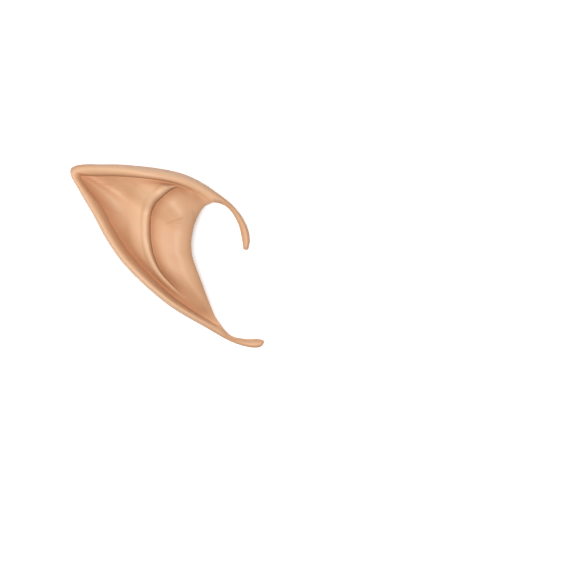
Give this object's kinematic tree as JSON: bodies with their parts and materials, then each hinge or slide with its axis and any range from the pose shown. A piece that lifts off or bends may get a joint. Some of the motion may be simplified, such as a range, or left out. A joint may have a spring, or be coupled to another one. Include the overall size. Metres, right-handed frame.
{
  "type": "elf ear tip",
  "caption": "Hollow slip-on pointed ear tip of soft latex, open at the mouth that takes the wearer's ear, with a thin tail at each end of the mouth.",
  "frame": {"origin": "middle of the bounding box's underside, with the ear lying on its back", "axes": "+Z out of the front face, +X from the point towards the tails, +Y towards the upper rim"},
  "size_m": [0.0894, 0.0844, 0.0202],
  "materials": {
    "latex": "soft flesh-coloured latex, matte with a faint sheen"
  },
  "bodies": {
    "root": {"ear_shell": "latex"}
  },
  "joints": []
}
